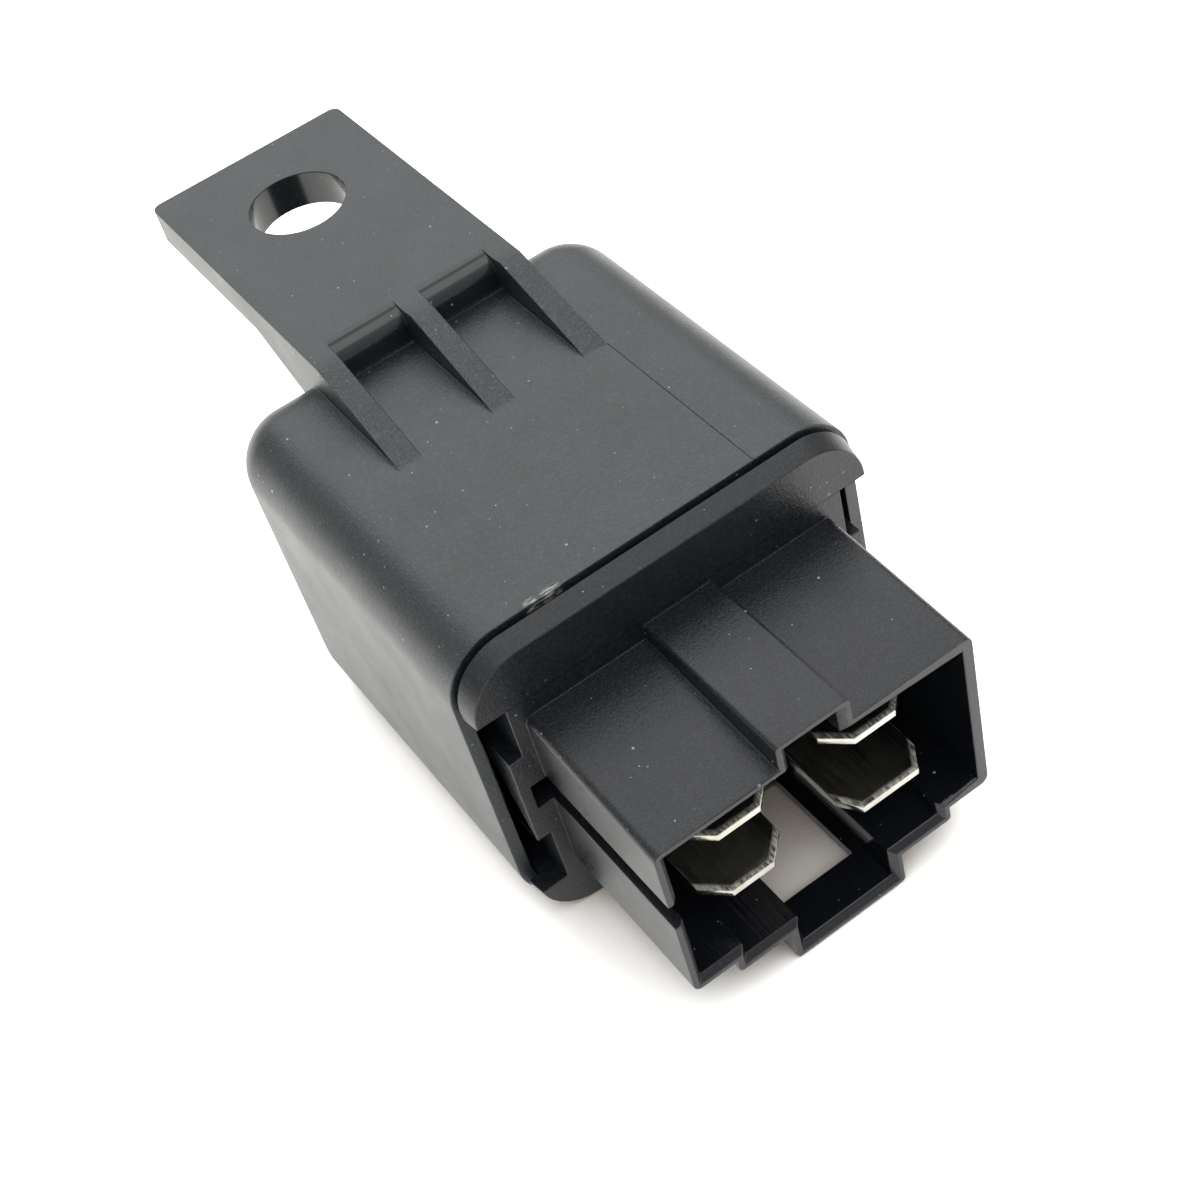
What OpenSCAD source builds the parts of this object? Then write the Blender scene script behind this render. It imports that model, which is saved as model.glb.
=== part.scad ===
// Automotive plug-in relay, four blades, moulded cover with bolt tab.
// X runs across the width, Y from the socket mouth towards the tab, Z up from the rest face.
// The origin is the middle of the cover's underside, on which the relay rests.
// Places along Y are given from the cover's mouth, and centred() moves them to the origin.

/* [Cover] */
// Width of the moulded cover
cover_w = 29.6; // [28:0.1:36]
// Height of the cover above the rest face
cover_h = 24.4; // [23.6:0.1:30]
// Length of the cover from mouth to far face
cover_l = 29.6; // [29.4:0.1:38]
// Radius of the long edges and far corners
cover_r = 4; // [3:0.1:5]
// Wall thickness of the cover
cover_wall = 0.9; // [0.8:0.05:1.2]

/* [Bolt tab] */
// Width of the tab
tab_w = 15.9; // [13:0.1:19]
// Rise of the tab's top above the cover
tab_rise = 2.6; // [2:0.1:3]
// Thickness of the tab
tab_t = 2.75; // [2:0.05:3.2]
// Reach of the tab beyond the far face
tab_reach = 21.4; // [17:0.1:28]
// Radius of the tab's corners
tab_corner = 0.7; // [0.3:0.1:2]
// Diameter of the bolt hole
hole_d = 7.1; // [5.2:0.1:9]
// Distance of the hole from the tab's end
hole_inset = 8.5; // [7:0.1:11]
// Length of tab lapping over the cover
tab_lap = 3.8; // [3.2:0.1:6]
// Width of one rib
rib_w = 1.7; // [1.2:0.1:2.4]
// Length of the ribs on the cover's top
rib_l = 14.1; // [9:0.1:20]

/* [Base] */
// Gap between the cover's mouth and the flange
mouth_gap = 0.35; // [0.25:0.05:0.5]
// Thickness of the flange
flange_t = 1.45; // [1.2:0.05:2]
// Set-in of the flange from the cover's outline
flange_inset = 0.25; // [0.15:0.05:0.7]
// Draw-in of each side of the flange from its back to its front
flange_taper = 0.17; // [0:0.01:0.4]
// Fall of the flange's top from its back to its front
flange_drop = 0.45; // [0:0.05:0.6]
// Depth of the plug inside the cover
plug_depth = 2.2; // [2:0.1:3]
// Clearance of the plug in the cover
plug_clear = 0.1; // [0.05:0.05:0.2]

/* [Socket] */
// Outside width of the socket
socket_w = 22.9; // [22.4:0.1:26]
// Outside height of the socket's side thirds
socket_h = 13.7; // [13:0.1:15]
// Height of the side thirds above the rest face
socket_z = 3.9; // [3.4:0.1:4.6]
// Reach of the socket from the flange's front
socket_reach = 12.8; // [10:0.1:16]
// Rise of the socket's top wall from mouth to root
socket_draft = 0.8; // [0.2:0.1:1]
// Wall thickness of the socket
socket_wall = 0.8; // [0.7:0.05:1]
// Outside width of the upper key channel
key_w = 5.3; // [4.4:0.1:6]
// Rise of the upper key channel
key_rise = 1.9; // [1.4:0.1:2.4]
// Outside width of the stepped middle of the lower wall
step_w = 16.6; // [14:0.1:18]
// Drop of the stepped middle
step_drop = 1.15; // [0.8:0.05:1.4]
// Outside width of the lower latch channel
latch_w = 8.6; // [8:0.1:10]
// Width of the latch window
window_w = 5.6; // [4.6:0.1:6.4]
// Length of the bar in front of the window
window_bar = 3.4; // [2:0.1:5]
// Height of the slot in the left wall
slot_h = 2.1; // [1.4:0.1:2.3]

/* [Blades] */
// Width of a blade
blade_w = 6.3; // [5.8:0.1:6.6]
// Thickness of a blade
blade_t = 0.8; // [0.6:0.1:1]
// Spacing of the two blade columns
column_pitch = 10.1; // [9.6:0.1:11]
// Spacing of the two blade rows
row_pitch = 5.6; // [5.2:0.1:6.4]
// Height of the lower row above the rest face
row_z = 7.6; // [7.2:0.1:8]
// Set-back of the blade tips from the socket's mouth
tip_setback = 1.7; // [1:0.1:4]
// Width of a tip's corner chamfer
tip_chamfer = 1.6; // [1.2:0.1:2]
// Length of the bevel along a tip
tip_bevel = 0.7; // [0.3:0.1:1]
// Extra reach of the right coil blade
long_reach = 0.6; // [0.1:0.1:1]

/* [Coil and armature] */
// Outer radius of the winding
winding_r = 6.6; // [5.6:0.1:6.8]
// Radius of the core
core_r = 2.6; // [2:0.1:2.8]
// Free space between the back stop and the cover's far wall
far_space = 2.2; // [1.5:0.1:4]
// Thickness of the yoke
yoke_t = 1.5; // [1.2:0.1:1.6]
// Width of the yoke
yoke_w = 12.4; // [10:0.1:13]
// Thickness of the armature
armature_t = 1.2; // [1:0.1:1.5]
// Gap between the contacts at rest
contact_gap = 0.78; // [0.6:0.02:1]
// Radius of a contact
contact_r = 1.6; // [1.2:0.1:1.7]

/* [Hidden] */
$fn = 64;
eps = 0.01;
cut = 1;

// Colours
cover_black = [0.06, 0.06, 0.065];
base_black = [0.055, 0.055, 0.06];
tin = [0.78, 0.77, 0.74];
zinc_plate = [0.62, 0.6, 0.55];
bright_steel = [0.7, 0.7, 0.68];
rivet_steel = [0.75, 0.74, 0.7];
contact_silver = [0.85, 0.84, 0.8];
spring_bronze = [0.72, 0.5, 0.3];
bobbin_nylon = [0.13, 0.13, 0.14];
enamel_wire = [0.55, 0.25, 0.1];
lead_copper = [0.6, 0.28, 0.1];
tape_yellow = [0.75, 0.6, 0.15];

// Cover, derived
half_w = cover_w/2;
cover_top = cover_h;
tab_top = cover_top + tab_rise;
tab_under = tab_top - tab_t;
tab_end = cover_l + tab_reach;
tab_start = cover_l - tab_lap;
hole_y = tab_end - hole_inset;
rib_tip = cover_l - rib_l;
rib_crest = tab_start - 0.8;
lap_r = tab_rise*0.6;
gusset_reach = 6.1;
gusset_drop = 3;
gusset_foot = 0.6;
tab_sink = 0.5;
tab_step = 1;
witness_w = 0.1;
witness_left = 0.02;
witness_right = 0.05;
inner_w = cover_w - 2*cover_wall;
inner_h = cover_h - 2*cover_wall;
inner_r = cover_r - cover_wall;
catch_d = 0.4;

// Base, derived
flange_back = -mouth_gap;
flange_front = flange_back - flange_t;
flange_w = cover_w - 2*flange_inset;
flange_h = cover_h - flange_inset;
flange_r = cover_r - flange_inset;
face_r = flange_r + 0.15;
plug_w = inner_w - 2*plug_clear;
plug_h = inner_h - 2*plug_clear;
plug_r = inner_r - plug_clear;
side_x = half_w - 2.4;
side_low = 3.3;
side_high = cover_h - 4.65;
block_x = half_w - 1.4;
block_low = 8;
block_high = 15.6;
catch_x = half_w - cover_wall + catch_d - 0.1;
catch_y = plug_depth - 0.6;
catch_play = 0.1;
recess_l = 1.4;
wedge_low = block_low + 0.8;
wedge_high = block_high - 0.8;
wedge_play = 0.4;
wedge_root = 0.6;
wedge_lead = 0.1;
wedge_tip = 0.4;
saddle_top = plug_depth + 1.8;
saddle_t = 1.1;

// Socket, derived
mouth_y = flange_front - socket_reach;
socket_top = socket_z + socket_h;
socket_r = 0.6;
roof_h = 3;
key_top = socket_top + key_rise;
step_z = socket_z - step_drop;
latch_z = 0.1;
window_front = mouth_y + window_bar;
window_back = flange_front - 1.2;
slot_top = row_z + row_pitch - blade_t/2;
slot_z = slot_top - slot_h;
slot_x = half_w - 2.2;

// Blades, derived
column_x = column_pitch/2;
upper_z = row_z + row_pitch;
tip_y = mouth_y + tip_setback;
tip_depth = 1.55;
bevel_drop = 0.15;
shoulder_y = -1.3;
shoulder_top = plug_depth + 1.2;

// Coil, derived
riser_out = half_w - 2.4;
riser_in = riser_out - blade_t;
coil_x = -2.4;
coil_z = cover_h/2;
saddle_left = coil_x - 6;
saddle_right = coil_x + 5.6;
yoke_out = -riser_in;
yoke_in = yoke_out + yoke_t;
leg_bottom = saddle_top;
leg_top = leg_bottom + yoke_t;
leg_end = coil_x + 6.9;
saddle_off = core_r + 0.25;
flange_thk = 1;
bobbin_w = 15;
bobbin_d = 14;
bobbin_corner = 1.2;
bobbin_r = core_r + 0.1;
hub_r = bobbin_r + 0.6;
pole_r = 4.5;
pole_t = 0.7;
head_r = core_r + 0.1;
head_t = 0.5;
tape_t = 0.12;

// Armature group, given closed and flat on the pole, then swung open
air = 0.02;
leaf_t = 0.25;
stop_t = 0.6;
stop_w = 2.2;
stop_x = coil_x + 7.8;
stop_z = coil_z + 6.1;
contact_x = half_w - 5.6;
contact_z = coil_z - 0.2;
open_angle = atan(contact_gap/(contact_x - yoke_out));
stop_arm = cover_l - cover_wall - far_space - stop_t;
leaf_top = stop_arm - air - (stop_x + stop_w - yoke_out)*sin(open_angle);
armature_top = leaf_top - leaf_t;
armature_y = armature_top - armature_t;
pivot_y = armature_y - air;
pole_top = pivot_y;
bobbin_top = pole_top - pole_t;
wind_start = leg_top + flange_thk;
wind_end = bobbin_top - flange_thk;
armature_tail = yoke_out - 1;
armature_end = coil_x + 6;
armature_w = 11.4;
spring_z = 2.2;
contact_head = 0.5;
contact_drop = 1.1;
moving_face = armature_top - contact_drop;
fixed_face = moving_face - air;
shelf_top = fixed_face - contact_head;
shelf_bottom = shelf_top - blade_t;
strip_w = 4.6;
strip_drop = strip_w - blade_t/2;

// Rivets, posts, leads and clip, derived
rivet_r = 0.7;
rivet_clear = 0.05;
rivet_head_r = 1.3;
rivet_head = 0.5;
rivet_z = 2.2;
buried = 0.1;
post_w = 1.4;
post_dx = 5.1;
post_z = coil_z - bobbin_d/2 - 1;
post_y = leg_top + 3.2;
wrap_t = 0.28;
wrap_l = 1.2;
wire_r = 0.14;
lead_y = wind_start + 0.6;
lead_start = 0.68;
lead_tilt = atan2(post_dx, coil_z - post_z);
lead_l = norm([post_dx, coil_z - post_z]) - winding_r - lead_start - air;
joint_y = leg_top + 2.4;
joint_z = upper_z + 2;
clip_t = 0.2;
clip_w = 7;
clip_foot = pivot_y - 9.6;
clip_rivet = pivot_y - 7.6;
clip_bend = pivot_y - 3.4;
clip_gap = 0.3;
clip_rise = 1.3;
clip_arm = armature_top + air;

// Moves a piece from the mouth's frame to the origin under the middle of the cover.
module centred() {
  translate([0, -cover_l/2, 0]) children();
}

// Extrudes a flat X-Z outline from y0 to y1.
module along_y(y0, y1) {
  translate([0, y1, 0]) rotate([90, 0, 0]) linear_extrude(y1 - y0) children();
}

// Extrudes a flat Y-Z outline from x0 to x1.
module along_x(x0, x1) {
  translate([x0, 0, 0]) rotate([90, 0, 90]) linear_extrude(x1 - x0) children();
}

// Rod along Y.
module rod_y(x, z, y0, y1, r) {
  translate([x, y1, z]) rotate([90, 0, 0]) cylinder(h = y1 - y0, r = r);
}

// Rod along X.
module rod_x(y, z, x0, x1, r) {
  translate([x0, y, z]) rotate([0, 90, 0]) cylinder(h = x1 - x0, r = r);
}

// Box from corner to corner.
module block(x0, x1, y0, y1, z0, z1) {
  translate([x0, y0, z0]) cube([x1 - x0, y1 - y0, z1 - z0]);
}

// Rounded rectangle standing on Z = 0, centred on X.
module round_rect(w, h, r) {
  translate([-w/2 + r, 0]) square([w - 2*r, h]);
  translate([-w/2, r]) square([w, h - 2*r]);
  for (x = [-w/2 + r, w/2 - r], z = [r, h - r]) translate([x, z]) circle(r);
}

// Box open at y = 0 with round long edges and a round far end.
module soft_box(w, h, l, r) {
  along_y(0, l - r) round_rect(w, h, r);
  block(-w/2 + r, w/2 - r, l - r - cut, l, r, h - r);
  for (z = [r, h - r]) rod_x(l - r, z, -w/2 + r, w/2 - r, r);
  for (x = [-w/2 + r, w/2 - r]) translate([x, l - r, r]) cylinder(h = h - 2*r, r = r);
  for (x = [-w/2 + r, w/2 - r], z = [r, h - r]) translate([x, l - r, z]) sphere(r);
}

// Flange, drawing in from the full outline at its back to a crisp front face.
module flange() {
  face_w = flange_w - 2*flange_taper;
  hull() {
    along_y(flange_back - eps, flange_back) round_rect(flange_w, flange_h, flange_r);
    along_y(flange_front, flange_front + eps) round_rect(face_w, flange_h - flange_drop, face_r);
  }
}

// Side view of the tab: plate, rounded inner end and gusset below.
module tab_profile() {
  translate([tab_start, tab_under]) square([tab_end - tab_start, tab_t - lap_r]);
  translate([tab_start + lap_r, tab_under]) square([tab_end - tab_start - lap_r, tab_t]);
  translate([tab_start, cover_top - tab_sink]) square([tab_lap - tab_step, tab_sink + tab_rise - lap_r]);
  translate([tab_start + lap_r, tab_top - lap_r]) circle(lap_r);
}

module gusset_profile() {
  polygon([
    [cover_l - tab_lap, tab_top - lap_r],
    [cover_l + gusset_reach, tab_top - lap_r],
    [cover_l + gusset_reach, tab_under],
    [cover_l - gusset_foot, tab_under - gusset_drop],
    [cover_l - tab_lap, tab_under - gusset_drop]
  ]);
}

module rib_profile() {
  polygon([
    [rib_tip, cover_top],
    [rib_tip, cover_top - 0.3],
    [tab_start + lap_r + 0.4, cover_top - 0.3],
    [tab_start + lap_r + 0.4, tab_top],
    [rib_crest, tab_top]
  ]);
}

// Plan of the tab, with round corners at its free end.
module tab_plan() {
  translate([-tab_w/2, 0]) square([tab_w, tab_end - tab_corner]);
  translate([-tab_w/2 + tab_corner, 0]) square([tab_w - 2*tab_corner, tab_end]);
  for (x = [-tab_w/2 + tab_corner, tab_w/2 - tab_corner])
    translate([x, tab_end - tab_corner]) circle(tab_corner);
}

module bolt_tab() {
  difference() {
    intersection() {
      along_x(-tab_w/2, tab_w/2) tab_profile();
      linear_extrude(tab_top + cut) tab_plan();
    }
    translate([0, hole_y, tab_under - cut]) cylinder(h = tab_t + 2*cut, d = hole_d);
  }
  along_x(-tab_w/2, tab_w/2) gusset_profile();
  for (x = [-tab_w/2, -rib_w/2, tab_w/2 - rib_w]) along_x(x, x + rib_w) rib_profile();
}

// Block on both sides of the middle, from |x| = x0 out to |x| = x1.
module both_sides(x0, x1, y0, y1, z0, z1) {
  block(x0, x1, y0, y1, z0, z1);
  block(-x1, -x0, y0, y1, z0, z1);
}

// Sharp line along the cover's top at x, from the mouth to the ribs.
module witness(x, depth) {
  block(x - witness_w/2, x + witness_w/2, -cut, rib_tip, cover_top - depth, cover_top + cut);
}

// Recesses inside the cover's walls, into which the base's wedges click.
module catch_recesses() {
  wall_x = half_w - cover_wall;
  y0 = catch_y - catch_play;
  z0 = wedge_low - wedge_play;
  both_sides(wall_x - cut/2, wall_x + catch_d, y0, y0 + recess_l, z0, wedge_high + wedge_play);
}

module cover() {
  color(cover_black) centred()
  difference() {
    union() {
      soft_box(cover_w, cover_h, cover_l, cover_r);
      bolt_tab();
    }
    translate([0, -cut, cover_wall]) soft_box(inner_w, inner_h, cover_l - cover_wall + cut, inner_r);
    witness(-tab_w/2, witness_left);
    witness(tab_w/2, witness_right);
    catch_recesses();
  }
}

// Outside outline of the socket, below its sloping roof.
module socket_outer() {
  translate([0, socket_z]) round_rect(socket_w, socket_h/2, socket_r);
  translate([-socket_w/2, socket_z + socket_r]) square([socket_w, socket_h - socket_r - roof_h/2]);
  translate([0, socket_top - cut]) round_rect(key_w, key_rise + cut, 0.35);
  translate([0, step_z]) round_rect(step_w, step_drop + cut, 0.35);
  translate([0, latch_z]) round_rect(latch_w, step_z - latch_z + cut, 0.35);
}

// Inside outline of the socket.
module socket_inner() {
  w = socket_wall;
  translate([-socket_w/2 + w, socket_z + w]) square([socket_w - 2*w, socket_h - 2*w]);
  translate([-key_w/2 + w, socket_top - w - cut]) square([key_w - 2*w, key_rise + cut]);
  translate([-step_w/2 + w, step_z + w]) square([step_w - 2*w, step_drop + cut]);
  translate([-latch_w/2 + w, latch_z + w]) square([latch_w - 2*w, step_z - latch_z + cut]);
}

// Top wall of the socket, rising towards the root.
module socket_roof() {
  translate([0, mouth_y, socket_top]) rotate([atan(socket_draft/socket_reach), 0, 0])
    along_y(-cut, socket_reach + flange_t/2) translate([0, -roof_h]) round_rect(socket_w, roof_h, socket_r);
}

// Cut-backs in the plug's sides, above and below the snap block and beside it.
module side_pockets() {
  far = half_w + cut;
  y0 = flange_front - cut;
  y1 = plug_depth + cut;
  both_sides(side_x, far, y0, y1, side_low, block_low);
  both_sides(side_x, far, y0, y1, block_high, side_high);
  both_sides(block_x, far, y0, y1, block_low - eps, block_high + eps);
}

// Slits that the terminals are pressed into.
module terminal_slits() {
  y0 = flange_front - cut;
  y1 = plug_depth + cut;
  for (z = [row_z, upper_z])
    both_sides(column_x - blade_w/2, column_x + blade_w/2, y0, y1, z - blade_t/2, z + blade_t/2);
  block(-riser_out - 0.1, -column_x, shoulder_y, y1, upper_z - blade_t/2, upper_z + blade_t/2);
}

// Snap wedges on the blocks, which click into the cover's recesses.
module catches() {
  for (s = [-1, 1]) translate([0, 0, wedge_low]) linear_extrude(wedge_high - wedge_low) polygon([
    [s*(block_x - wedge_root), catch_y], [s*block_x, catch_y], [s*catch_x, catch_y + wedge_lead],
    [s*catch_x, catch_y + wedge_tip], [s*block_x, plug_depth - eps],
    [s*(block_x - wedge_root), plug_depth - eps]
  ]);
}

module base() {
  color(base_black) centred() {
    difference() {
      union() {
        flange();
        along_y(flange_back - eps, plug_depth)
          translate([0, cover_wall + plug_clear]) round_rect(plug_w, plug_h, plug_r);
        along_y(mouth_y, flange_front + flange_t/2) socket_outer();
        socket_roof();
        for (z = [coil_z - saddle_off - saddle_t, coil_z + saddle_off])
          block(saddle_left, saddle_right, plug_depth - eps, saddle_top, z, z + saddle_t);
      }
      along_y(mouth_y - cut, flange_front) socket_inner();
      block(-half_w, half_w, mouth_y - 2*cut, mouth_y, 0, cover_h);
      block(-window_w/2, window_w/2, window_front, window_back, latch_z - cut, latch_z + socket_wall + eps);
      block(-slot_x, -(socket_w/2 - 1.2), mouth_y - cut, plug_depth + cut, slot_z, slot_top);
      side_pockets();
      terminal_slits();
    }
    catches();
  }
}

// Bevels along the three edges of a blade's tip, on its upper and lower face.
module tip_bevels(x, z, y, c) {
  turn = atan2(tip_depth, c);
  corner_x = (blade_w - c)/2;
  edges = [[0, 0, 0], [-corner_x, tip_depth/2, -turn], [corner_x, tip_depth/2, turn]];
  for (e = edges, s = [0, 1])
    translate([x + e[0], y + e[1], z]) rotate([0, 0, e[2]]) mirror([0, 0, s])
      translate([0, 0, blade_t/2 - bevel_drop]) rotate([atan(bevel_drop/tip_bevel), 0, 0])
        block(-blade_w, blade_w, -cut, 2*tip_bevel, 0, cut);
}

// Blade lying flat at height z, with its chamfered tip at y0.
module blade(x, z, y0, y1, c) {
  difference() {
    translate([x, 0, z - blade_t/2]) linear_extrude(blade_t) polygon([
      [-blade_w/2, y0 + tip_depth], [-blade_w/2 + c, y0], [blade_w/2 - c, y0],
      [blade_w/2, y0 + tip_depth], [blade_w/2, y1], [-blade_w/2, y1]
    ]);
    tip_bevels(x, z, y0, c);
  }
}

module common_terminal() {
  low = upper_z - blade_t/2;
  color(tin) centred() difference() {
    union() {
      blade(-column_x, upper_z, tip_y, shoulder_top, tip_chamfer);
      block(-riser_out, -column_x, shoulder_y, shoulder_top, low, low + blade_t);
      block(-riser_out, -riser_in, plug_depth, leg_top + 5, low, low + strip_w);
    }
    rod_x(joint_y, joint_z, -riser_out - cut, -riser_in + cut, rivet_r + rivet_clear);
  }
}

module contact_terminal() {
  low = upper_z - strip_drop;
  high = upper_z + blade_t/2;
  color(tin) centred() difference() {
    union() {
      blade(column_x, upper_z, tip_y, shoulder_top, tip_chamfer);
      block(column_x, riser_out, plug_depth, shoulder_top, high - blade_t, high);
      block(riser_in, riser_out, plug_depth, shelf_top, low, high);
      block(contact_x - 2, riser_out, shelf_bottom, shelf_top, low, high);
    }
    rod_y(contact_x, contact_z, shelf_bottom - cut, shelf_top + cut, rivet_r + rivet_clear);
  }
}

// Blade with an inner strip that steps down and ends in a wire post.
module coil_terminal(x, post_x, y0, c) {
  y1 = plug_depth + blade_t;
  low = post_z - blade_t/2;
  color(tin) centred() {
    blade(x, row_z, y0, y1, c);
    block(post_x - post_w/2, post_x + post_w/2, plug_depth, y1, low, row_z);
    block(post_x - post_w/2, post_x + post_w/2, plug_depth, post_y, low, low + blade_t);
  }
}

module coil_terminal_left() {
  coil_terminal(-column_x, coil_x - post_dx, tip_y, tip_chamfer);
}

module coil_terminal_right() {
  coil_terminal(column_x, coil_x + post_dx, tip_y - long_reach, tip_chamfer - long_reach);
}

module yoke() {
  color(zinc_plate) centred() difference() {
    union() {
      block(yoke_out, yoke_in, leg_bottom, pivot_y, coil_z - yoke_w/2, coil_z + yoke_w/2);
      block(yoke_out, leg_end, leg_bottom, leg_top, coil_z - yoke_w/2, coil_z + yoke_w/2);
    }
    rod_y(coil_x, coil_z, leg_bottom - cut, leg_top + cut, core_r - 0.5);
    for (z = [-rivet_z, rivet_z])
      rod_x(clip_rivet, coil_z + z, yoke_out - cut, yoke_in + cut, rivet_r + rivet_clear);
    rod_x(joint_y, joint_z, yoke_out - cut, yoke_in + cut, rivet_r + rivet_clear);
  }
}

// Core with its pole face above, and its staked end and head below the yoke's leg.
module core() {
  color(bright_steel) centred() {
    rod_y(coil_x, coil_z, leg_top, bobbin_top + eps, core_r);
    rod_y(coil_x, coil_z, bobbin_top, pole_top, pole_r);
    rod_y(coil_x, coil_z, leg_bottom - head_t, leg_top + eps, core_r - 0.6);
    rod_y(coil_x, coil_z, leg_bottom - head_t, leg_bottom, head_r);
  }
}

module bobbin() {
  lug_x = stop_x + stop_w + 0.6;
  color(bobbin_nylon) centred() difference() {
    union() {
      rod_y(coil_x, coil_z, leg_top, bobbin_top, hub_r);
      for (y = [leg_top, wind_end])
        along_y(y, y + flange_thk)
          translate([coil_x, coil_z - bobbin_d/2]) round_rect(bobbin_w, bobbin_d, bobbin_corner);
      block(coil_x + bobbin_w/2 - cut, lug_x, wind_end, bobbin_top, coil_z + 4, stop_z + stop_t + 0.5);
    }
    rod_y(coil_x, coil_z, leg_top - cut, bobbin_top + cut, bobbin_r);
    block(stop_x, stop_x + stop_w, wind_end - cut, bobbin_top + cut, stop_z, stop_z + stop_t);
  }
}

module winding() {
  color(enamel_wire) centred() difference() {
    rod_y(coil_x, coil_z, wind_start, wind_end, winding_r);
    rod_y(coil_x, coil_z, wind_start - cut, wind_end + cut, hub_r + air);
  }
}

module winding_tape() {
  color(tape_yellow) centred() difference() {
    rod_y(coil_x, coil_z, wind_start + 1.3, wind_end - 0.8, winding_r + air + tape_t);
    rod_y(coil_x, coil_z, wind_start, wind_end, winding_r + air);
  }
}

// Wire wrapped on its post, then led up to the winding.
module coil_lead(s) {
  px = coil_x + s*post_dx;
  w = post_w/2 + air;
  h = blade_t/2 + air;
  color(lead_copper) centred() {
    difference() {
      translate([px, 0, post_z])
        block(-w - wrap_t, w + wrap_t, lead_y - wrap_l/2, lead_y + wrap_l/2, -h - wrap_t, h + wrap_t);
      block(px - w, px + w, lead_y - wrap_l, lead_y + wrap_l, post_z - h, post_z + h);
    }
    translate([px, lead_y, post_z]) rotate([0, -s*lead_tilt, 0])
      translate([0, 0, lead_start]) cylinder(h = lead_l, r = wire_r);
  }
}

module coil_lead_left() {
  coil_lead(-1);
}

module coil_lead_right() {
  coil_lead(1);
}

// Swings the armature group open about the yoke's outer edge.
module swung_open() {
  translate([yoke_out, pivot_y, 0]) rotate([0, 0, open_angle])
    translate([-yoke_out, -pivot_y, 0]) children();
}

module armature() {
  color(bright_steel) centred() swung_open() difference() {
    translate([0, 0, coil_z])
      block(armature_tail, armature_end, armature_y, armature_top, -armature_w/2, armature_w/2);
    for (z = [-rivet_z, rivet_z])
      rod_y(coil_x, coil_z + z, armature_y - cut, armature_top + cut, rivet_r + rivet_clear);
  }
}

module contact_spring() {
  tip = contact_x + contact_r + 0.3;
  neck = contact_x - 3;
  heel = coil_x - 5.4;
  wide = 3.5;
  color(spring_bronze) centred() swung_open() difference() {
    along_y(armature_top, leaf_top) polygon([
      [heel, coil_z - wide], [armature_end, coil_z - wide],
      [neck, contact_z - spring_z], [tip, contact_z - spring_z],
      [tip, contact_z + spring_z], [neck, contact_z + spring_z],
      [armature_end, coil_z + wide], [heel, coil_z + wide]
    ]);
    for (z = [-rivet_z, rivet_z])
      rod_y(coil_x, coil_z + z, armature_top - cut, leaf_top + cut, rivet_r + rivet_clear);
    rod_y(contact_x, contact_z, armature_top - cut, leaf_top + cut, rivet_r + rivet_clear);
  }
}

module armature_rivets() {
  color(rivet_steel) centred() swung_open() for (z = [-rivet_z, rivet_z]) {
    rod_y(coil_x, coil_z + z, armature_y + buried, leaf_top + eps, rivet_r);
    rod_y(coil_x, coil_z + z, leaf_top, leaf_top + rivet_head, rivet_head_r);
  }
}

// Contact button with its shank through a strip and a staked head behind.
module contact_button(face, front, back) {
  d = sign(back - front);
  ends = [front, back, back + d*0.35];
  rod_y(contact_x, contact_z, min(face, front), max(face, front), contact_r);
  rod_y(contact_x, contact_z, min(ends[0], ends[1]) - eps, max(ends[0], ends[1]) + eps, rivet_r);
  rod_y(contact_x, contact_z, min(ends[1], ends[2]), max(ends[1], ends[2]), rivet_r + 0.4);
}

module moving_contact() {
  color(contact_silver) centred() swung_open() contact_button(moving_face, armature_top, leaf_top);
}

module fixed_contact() {
  color(contact_silver) centred() contact_button(fixed_face, shelf_top, shelf_bottom);
}

// Clip riveted to the yoke, bent out past the armature's tail and over it.
module return_spring() {
  out = yoke_out - 1 - clip_gap - clip_t;
  color(spring_bronze) centred() difference() {
    translate([0, 0, coil_z - clip_w/2]) linear_extrude(clip_w) polygon([
      [yoke_out, clip_foot], [yoke_out, clip_bend],
      [out + clip_t, clip_bend + clip_rise], [out + clip_t, clip_arm],
      [yoke_out - 0.2, clip_arm], [yoke_out - 0.2, clip_arm + clip_t], [out, clip_arm + clip_t],
      [out, clip_bend + 1.2], [yoke_out - clip_t, clip_bend - 0.1], [yoke_out - clip_t, clip_foot]
    ]);
    for (z = [-rivet_z, rivet_z])
      rod_x(clip_rivet, coil_z + z, yoke_out - cut, yoke_out + cut, rivet_r + rivet_clear);
  }
}

// Rivet along X through the yoke, its head on the strip outside.
module side_rivet(y, z, seat) {
  rod_x(y, z, seat - eps, yoke_in - buried, rivet_r);
  rod_x(y, z, seat - rivet_head, seat, rivet_head_r);
}

module yoke_rivets() {
  color(rivet_steel) centred() for (z = [-rivet_z, rivet_z])
    side_rivet(clip_rivet, coil_z + z, yoke_out - clip_t);
}

module terminal_rivet() {
  color(rivet_steel) centred() side_rivet(joint_y, joint_z, -riser_out);
}

// Upright strip in the bobbin's lug, with an arm over the contact spring.
module back_stop() {
  color(zinc_plate) centred() {
    block(stop_x, stop_x + stop_w, wind_end + buried, stop_arm + stop_t, stop_z, stop_z + stop_t);
    block(stop_x, stop_x + stop_w, stop_arm, stop_arm + stop_t, coil_z, stop_z + stop_t);
  }
}

cover();
base();
common_terminal();
contact_terminal();
coil_terminal_left();
coil_terminal_right();
yoke();
core();
bobbin();
winding();
winding_tape();
coil_lead_left();
coil_lead_right();
armature();
contact_spring();
armature_rivets();
moving_contact();
fixed_contact();
return_spring();
yoke_rivets();
terminal_rivet();
back_stop();
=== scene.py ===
"""
Looks of a plug-in automotive relay: a moulded cover with a bolt tab, a base with a keyed socket,
four blades, and the small switch inside.
"""

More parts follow.
